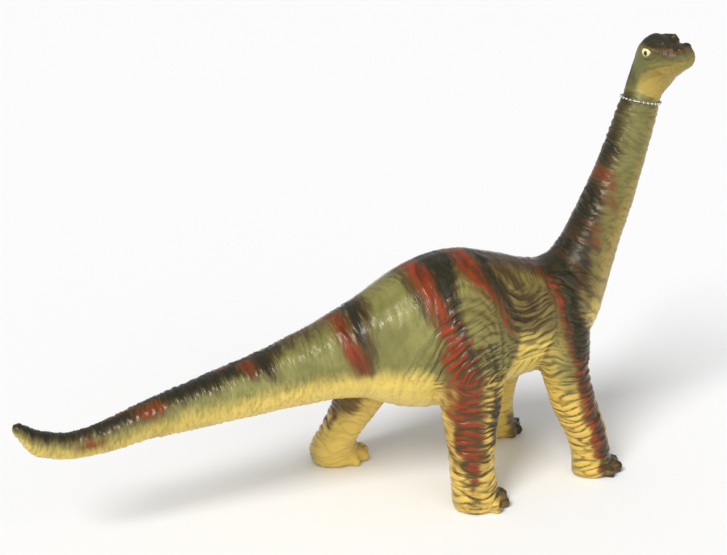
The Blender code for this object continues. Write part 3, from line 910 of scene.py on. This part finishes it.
OLIVE = (0.168, 0.16, 0.046, 1)
OLIVE_LIGHT = (0.235, 0.223, 0.068, 1)
EARTH = (0.17, 0.105, 0.026, 1)
CHEEK = (0.11, 0.115, 0.036, 1)
TAN = (0.74, 0.55, 0.125, 1)
LEG_TAN = (0.64, 0.43, 0.088, 1)
OCHRE = (0.37, 0.265, 0.055, 1)
NEAR_BLACK = (0.012, 0.013, 0.006, 1)
CAP = (0.018, 0.017, 0.007, 1)
UMBER = (0.05, 0.024, 0.008, 1)
BRICK = (0.1, 0.016, 0.004, 1)
SCARLET = (0.26, 0.034, 0.006, 1)
RUST = (0.14, 0.045, 0.011, 1)
# The brown of the valleys' painted shade, which also stands for the toy's wash there.
SHADE = (0.07, 0.045, 0.014, 1)
SKIN_ROUGH = (0.2, 0.3)
HEAD_ROUGHER = 0.16
SKIN_SPECULAR = 0.36
SKIN_SHEEN_TINT = (1, 0.94, 0.8, 1)
PATCH_SCALE = (0.05, 0.05, 0.05)
FRAY_SCALE = (0.8, 0.12, 0.12)
PORE_SCALE = (0.9, 0.16, 0.16)
PORE_DEPTH = 0.0005
PORE_STRENGTH = 0.6


class Airbrush(Finish):
    """Paint sprayed coat over coat on the skin, frayed along its folds."""

    def __init__(self, name):
        super().__init__(name)
        self.along = self.value("grain", "Vector")
        self.streak = self.value("streak")
        self.crest = self.value("crest")
        self.limb = self.value("limb")
        self.patch = self.noise(self.scaled(self.along, PATCH_SCALE), 1.0)
        fray = self.math("SUBTRACT", self.noise(self.scaled(self.along, FRAY_SCALE), 1.0), 0.5)
        self.frayed = self.math("ADD", self.times(self.streak, 0.5), fray)
        self.caught = self.times(self.crest, self.math("ADD", self.times(self.limb, 0.9), 1.0))

    def times(self, first, second):
        return self.math("MULTIPLY", first, second)

    def field(self, name, ragged, ridge):
        """A paint's field, roughened by streaks and by the folds that it caught on."""
        rough = self.times(self.frayed, ragged)
        caught = self.times(self.caught, ridge)
        return self.math("ADD", self.math("ADD", rough, caught), self.value(name))

    def spray(self, field, low, high, paint, strength=1.0):
        """A coat from nothing where its field is low to full strength where it is high."""
        self.colour = self.blend(self.step(field, low, high, 0.0, strength), self.colour, paint)


def spray_ground(coat):
    """The olive of the flanks over the tan of the bare vinyl, and the dark of the back."""
    olive = coat.blend(coat.step(coat.patch, 0.35, 0.65), OLIVE, OLIVE_LIGHT)
    olive = coat.blend(coat.times(coat.value("warm"), 0.6), olive, EARTH)
    coat.colour = coat.blend(coat.times(coat.value("cheek"), 0.8), olive, CHEEK)
    # Painted light: the legs' inner sides are painted the brighter tan, and their outer sides the darker
    # leg tan.
    bright = coat.blend(coat.limb, TAN, LEG_TAN)
    pale = coat.math("ADD", coat.patch, coat.value("pale"))
    tan = coat.blend(coat.step(pale, 0.6, 1.3), OCHRE, bright)
    coat.spray(coat.field("belly", 6.0, 1.5), -9.0, 9.0, tan)
    back = coat.field("back", 5.0, -0.8)
    coat.spray(back, -7.0, 2.0, UMBER, 0.75)
    coat.spray(back, -2.5, 4.0, NEAR_BLACK)


def spray_bands(coat):
    """The umber, red and black bands and the dark crown, each with a softer edge under it."""
    coat.spray(coat.field("umber", 8.0, -1.5), -6.0, 3.0, UMBER, 0.85)
    red = coat.field("red", 6.0, 1.8)
    coat.spray(red, -7.0, 0.5, RUST, 0.8)
    redder = coat.math("ADD", coat.streak, coat.times(coat.limb, 0.5))
    coat.spray(red, -2.5, 3.5, coat.blend(coat.step(redder, -0.4, 0.5), BRICK, SCARLET))
    black = coat.field("black", 6.0, -2.0)
    coat.spray(black, -7.0, 0.5, UMBER, 0.75)
    coat.spray(black, -2.5, 3.0, NEAR_BLACK, 0.96)
    crown = coat.field("cap", 4.0, 0.0)
    coat.spray(crown, -2.0, 0.4, RUST, 0.75)
    coat.spray(crown, -0.8, 2.4, CAP)


def shade_and_wash_valleys(coat):
    """Brown in the valleys between the folds, most on the legs: partly the toy's brown wash, partly
    painted shade.
    """
    most = coat.math("ADD", coat.times(coat.limb, 0.6), 0.2)
    most = coat.math("ADD", coat.times(coat.value("warm"), 0.25), most)
    share = coat.times(coat.step(coat.crest, -1.0, 0.3, 1.0, 0.0), most)
    coat.colour = coat.blend(share, coat.colour, SHADE)


def painted_vinyl():
    coat = Airbrush("painted_vinyl")
    spray_ground(coat)
    spray_bands(coat)
    # Painted shade, with the toy's brown wash, in the valleys between the folds.
    shade_and_wash_valleys(coat)
    duller = coat.times(coat.value("cheek"), HEAD_ROUGHER)
    rough = coat.math("ADD", coat.step(coat.patch, 0.3, 0.7, *SKIN_ROUGH), duller)
    coat.bump(coat.noise(coat.scaled(coat.along, PORE_SCALE), 1.0), PORE_DEPTH, PORE_STRENGTH)
    coat.set(Base_Color=coat.colour, Roughness=rough)
    coat.set(Specular_IOR_Level=SKIN_SPECULAR, Specular_Tint=SKIN_SHEEN_TINT)
    return coat.material


def shown(name, mesh, material, smooth=True):
    piece = bpy.data.objects.new(name, mesh)
    bpy.context.scene.collection.objects.link(piece)
    mesh.materials.clear()
    mesh.materials.append(material)
    mesh.polygons.foreach_set("use_smooth", np.full(len(mesh.polygons), smooth))
    return piece


skin = shown("skin", shape, painted_vinyl())
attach(skin, "root")
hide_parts(*FLESH)

# The eyes
# Raised beads of the casting behind the lids, hand-painted in glossy cream with a dark pupil that
# is a little taller than it is wide.
EYE_HALF = (4.5, 3.6, 4.2)
PUPIL_HALF = 1.4
PUPIL_TALL = 0.72
EYE_CREAM = (0.76, 0.68, 0.34, 1)
PUPIL_BROWN = (0.03, 0.014, 0.007, 1)


def head_place(ahead, side, up):
    """A point of the head's own frame, mm from its pivot, in the toy's."""
    return HEAD_TURN @ Vector((ahead, side, up)) + Vector(HEAD_PIVOT)


def eye_finish(name, pupil):
    finish = Finish(name)
    at = finish.node("ShaderNodeTexCoord", {}, "Object")
    off = finish.node("ShaderNodeVectorMath", {0: at, 1: tuple(pupil * MM)}, operation="SUBTRACT")
    off = finish.scaled(off, (1.0, 1.0, PUPIL_TALL))
    away = finish.node("ShaderNodeVectorMath", {0: off}, "Value", operation="LENGTH")
    dark = finish.step(away, PUPIL_HALF * 0.8 * MM, PUPIL_HALF * 1.25 * MM, 1.0, 0.0)
    finish.set(Base_Color=finish.blend(dark, EYE_CREAM, PUPIL_BROWN), Roughness=0.22)
    return finish.material


for label, side in (("right", -1), ("left", 1)):
    bm = bmesh.new()
    bmesh.ops.create_uvsphere(bm, u_segments=40, v_segments=24, radius=1)
    for vert in bm.verts:
        half = Vector([vert.co[k] * EYE_HALF[k] for k in range(3)])
        centre = Vector((EYE_AT[0], side * EYE_AT[1], EYE_AT[2] + LID_RISE))
        vert.co = head_place(*(centre + half)) * MM
    ball = bpy.data.meshes.new("eye_" + label)
    bm.to_mesh(ball)
    bm.free()
    pupil = head_place(EYE_AT[0] + 0.1, side * (EYE_AT[1] + EYE_HALF[1]), EYE_AT[2] + LID_RISE + 0.2)
    eye = shown(f"painted_eye_{label}", ball, eye_finish(f"eye_paint_{label}", pupil))
    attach(eye, "root")
    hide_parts("eye_" + label)

# The ball chain
# Small pressed steel balls on short link wires, plated bright. The toy wears it as a snug loop
# round the upper neck, and only the clasp holds it closed.
CHAIN_HALF = (15.4, 15.3)
BEAD_RADIUS = 1.1
BEAD_PITCH = 3.45
LINK_RADIUS = 0.3
CLASP_BEARING = math.radians(-8.0)
CLASP_LENGTH = 6.4
CLASP_RADIUS = 1.6
CLASP_GAP = 0.3
PATH_POINTS = 120


def chain_place(bearing, out=0.0):
    """A point on the chain's loop at a bearing from straight ahead."""
    ahead = (CHAIN_HALF[0] + out) * math.cos(bearing)
    side = (CHAIN_HALF[1] + out) * math.sin(bearing)
    lean = Vector((ahead * math.cos(CHAIN_TILT), side, ahead * math.sin(CHAIN_TILT)))
    return Vector(CHAIN_CENTRE) + lean


def group_input(tree, name, kind, default):
    made = tree.interface.new_socket(name, in_out="INPUT", socket_type=kind)
    if default is not None:
        made.default_value = default
    return made.identifier


def chain_tree(material):
    """Balls and a link wire along the curve that is given."""
    group = bpy.data.node_groups.new("ball_chain", "GeometryNodeTree")
    group_input(group, "Path", "NodeSocketGeometry", None)
    sockets = {
        "pitch": group_input(group, "Ball pitch", "NodeSocketFloat", 0.0033),
        "ball": group_input(group, "Ball radius", "NodeSocketFloat", 0.0012),
        "wire": group_input(group, "Wire radius", "NodeSocketFloat", 0.0005),
    }
    group.interface.new_socket("Chain", in_out="OUTPUT", socket_type="NodeSocketGeometry")
    tree = Nodes(group)
    given = group.nodes.new("NodeGroupInput").outputs
    spacing = {"Curve": given["Path"], "Length": given["Ball pitch"]}
    points = tree.node("GeometryNodeCurveToPoints", spacing, mode="LENGTH")
    ball_sizes = {"Segments": 12, "Rings": 7, "Radius": given["Ball radius"]}
    ball = tree.node("GeometryNodeMeshUVSphere", ball_sizes)
    smooth = tree.node("GeometryNodeSetShadeSmooth", {"Geometry": ball})
    balls = tree.node("GeometryNodeInstanceOnPoints", {"Points": points, "Instance": smooth})
    ring = tree.node("GeometryNodeCurvePrimitiveCircle", {"Resolution": 8, "Radius": given["Wire radius"]})
    along = {"Curve": given["Path"], "Profile Curve": ring, "Fill Caps": True}
    wire = tree.node("GeometryNodeCurveToMesh", along)
    joined = group.nodes.new("GeometryNodeJoinGeometry")
    tree.link(balls, joined.inputs[0])
    tree.link(wire, joined.inputs[0])
    real = tree.node("GeometryNodeRealizeInstances", {0: joined.outputs[0]})
    plated = tree.node("GeometryNodeSetMaterial", {"Geometry": real, "Material": material})
    tree.link(plated, group.nodes.new("NodeGroupOutput").inputs[0])
    return group, sockets


STEEL_DARK = (0.42, 0.42, 0.40, 1)
STEEL_LIGHT = (0.68, 0.68, 0.65, 1)
WEAR_SCALE = 900.0


def bright_steel():
    finish = Finish("ball_chain_metal")
    at = finish.node("ShaderNodeTexCoord", {}, "Object")
    wear = finish.noise(at, WEAR_SCALE)
    rough = finish.step(wear, 0.3, 0.7, 0.2, 0.34)
    finish.set(Base_Color=finish.blend(wear, STEEL_DARK, STEEL_LIGHT), Roughness=rough, Metallic=1.0)
    return finish.material


steel = bright_steel()
half_clasp = (CLASP_LENGTH / 2 + CLASP_GAP) / CHAIN_HALF[0]
free = 2 * math.pi - 2 * half_clasp
path = bpy.data.curves.new("chain_path", "CURVE")
path.dimensions = "3D"
spline = path.splines.new("POLY")
spline.points.add(PATH_POINTS)
for k in range(PATH_POINTS + 1):
    place = chain_place(CLASP_BEARING + half_clasp + free * k / PATH_POINTS)
    spline.points[k].co = (*(place * MM), 1.0)
chain_source = bpy.data.objects.new("chain_source", path)
bpy.context.scene.collection.objects.link(chain_source)
tree, sockets = chain_tree(steel)
nodes_of_chain = chain_source.modifiers.new("chain", "NODES")
nodes_of_chain.node_group = tree
nodes_of_chain[sockets["pitch"]] = BEAD_PITCH * MM
nodes_of_chain[sockets["ball"]] = BEAD_RADIUS * MM
nodes_of_chain[sockets["wire"]] = LINK_RADIUS * MM
bpy.context.view_layer.update()
chain = shown("steel_ball_chain", evaluated(chain_source), steel)
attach(chain, "root")
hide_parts("bead_chain")

# The clasp
# A pressed steel sleeve with drawn-in ends, plated like the chain. It snaps over the chain's end
# balls and hangs at the front of the loop.
SLEEVE = ((0.0, 0.75), (0.12, 0.95), (0.3, 1.0), (0.7, 1.0), (0.88, 0.95), (1.0, 0.75))
SLEEVE_SIDES = 24
SLEEVE_STANDOFF = 0.6


def sleeve(name):
    """A tube with drawn-in ends, round the chain's line at the clasp."""
    ahead = chain_place(CLASP_BEARING, SLEEVE_STANDOFF)
    start, end = (chain_place(CLASP_BEARING + turn, SLEEVE_STANDOFF) for turn in (-0.05, 0.05))
    run = (end - start).normalized()
    out = (ahead - Vector(CHAIN_CENTRE)).normalized()
    rise = run.cross(out)
    bm = bmesh.new()
    rings = []
    for share, size in SLEEVE:
        middle = ahead + run * (share - 0.5) * CLASP_LENGTH
        ring = []
        for k in range(SLEEVE_SIDES):
            angle = 2 * math.pi * k / SLEEVE_SIDES
            spoke = out * math.cos(angle) + rise * math.sin(angle)
            ring.append(bm.verts.new((middle + spoke * size * CLASP_RADIUS) * MM))
        rings.append(ring)
    for first, second in zip(rings, rings[1:]):
        for k in range(SLEEVE_SIDES):
            after = (k + 1) % SLEEVE_SIDES
            bm.faces.new((first[k], first[after], second[after], second[k]))
    bm.faces.new(rings[0])
    bm.faces.new(rings[-1])
    bmesh.ops.recalc_face_normals(bm, faces=bm.faces)
    mesh = bpy.data.meshes.new(name)
    bm.to_mesh(mesh)
    bm.free()
    return mesh


clasp = shown("steel_sleeve_clasp", sleeve("clasp"), steel)
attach(clasp, "root")
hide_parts("chain_clasp")

# The floor, the light and the camera
# A plain pale floor under soft studio light. The camera stands at the toy's right, a little behind
# it and above.
FLOOR_HALF = 60.0
FLOOR_GREY = (0.86, 0.86, 0.86, 1)
STUDIO_WHITE = (1, 1, 1, 1)
STUDIO_STRENGTH = 0.45
# Each light: its name, strength, width in degrees, and the way that it shines.
LIGHTS = (
    ("softbox", 2.6, 24, (0.57, 0.42, -0.71)),
    ("fill", 0.9, 70, (-0.05, 0.9, -0.35)),
)
CAMERA_YAW = math.radians(24)
CAMERA_PITCH = math.radians(20)
CAMERA_AIM = Vector((0.0012, 0.0, 0.179))
CAMERA_AWAY = 1.2
SENSOR = 36.0
FOCAL_PIXELS = 1600
IMAGE_WIDTH = 727

floor_mesh = bpy.data.meshes.new("floor")
corners = [(x * FLOOR_HALF, y * FLOOR_HALF, 0) for x, y in ((-1, -1), (1, -1), (1, 1), (-1, 1))]
floor_mesh.from_pydata(corners, [], [(0, 1, 2, 3)])
floor_finish = Finish("pale_floor")
floor_finish.set(Base_Color=FLOOR_GREY, Roughness=0.9)
floor = shown("floor", floor_mesh, floor_finish.material, smooth=False)

world = bpy.data.worlds.new("studio")
world.use_nodes = True
surroundings = world.node_tree.nodes["Background"].inputs
surroundings["Color"].default_value = STUDIO_WHITE
surroundings["Strength"].default_value = STUDIO_STRENGTH
bpy.context.scene.world = world

for name, energy, width, way in LIGHTS:
    lamp = bpy.data.lights.new(name, "SUN")
    lamp.energy = energy
    lamp.angle = math.radians(width)
    light = bpy.data.objects.new(name, lamp)
    light.rotation_euler = Vector(way).to_track_quat("-Z", "Y").to_euler()
    bpy.context.scene.collection.objects.link(light)

look = Vector(
    (
        math.sin(CAMERA_YAW) * math.cos(CAMERA_PITCH),
        math.cos(CAMERA_YAW) * math.cos(CAMERA_PITCH),
        -math.sin(CAMERA_PITCH),
    )
)
lens = bpy.data.cameras.new("camera")
lens.sensor_width = SENSOR
lens.lens = FOCAL_PIXELS * SENSOR / IMAGE_WIDTH
camera = bpy.data.objects.new("camera", lens)
camera.location = CAMERA_AIM - look * CAMERA_AWAY
camera.rotation_euler = look.to_track_quat("-Z", "Y").to_euler()
bpy.context.scene.collection.objects.link(camera)
bpy.context.scene.camera = camera
bpy.context.scene.view_settings.view_transform = "Standard"
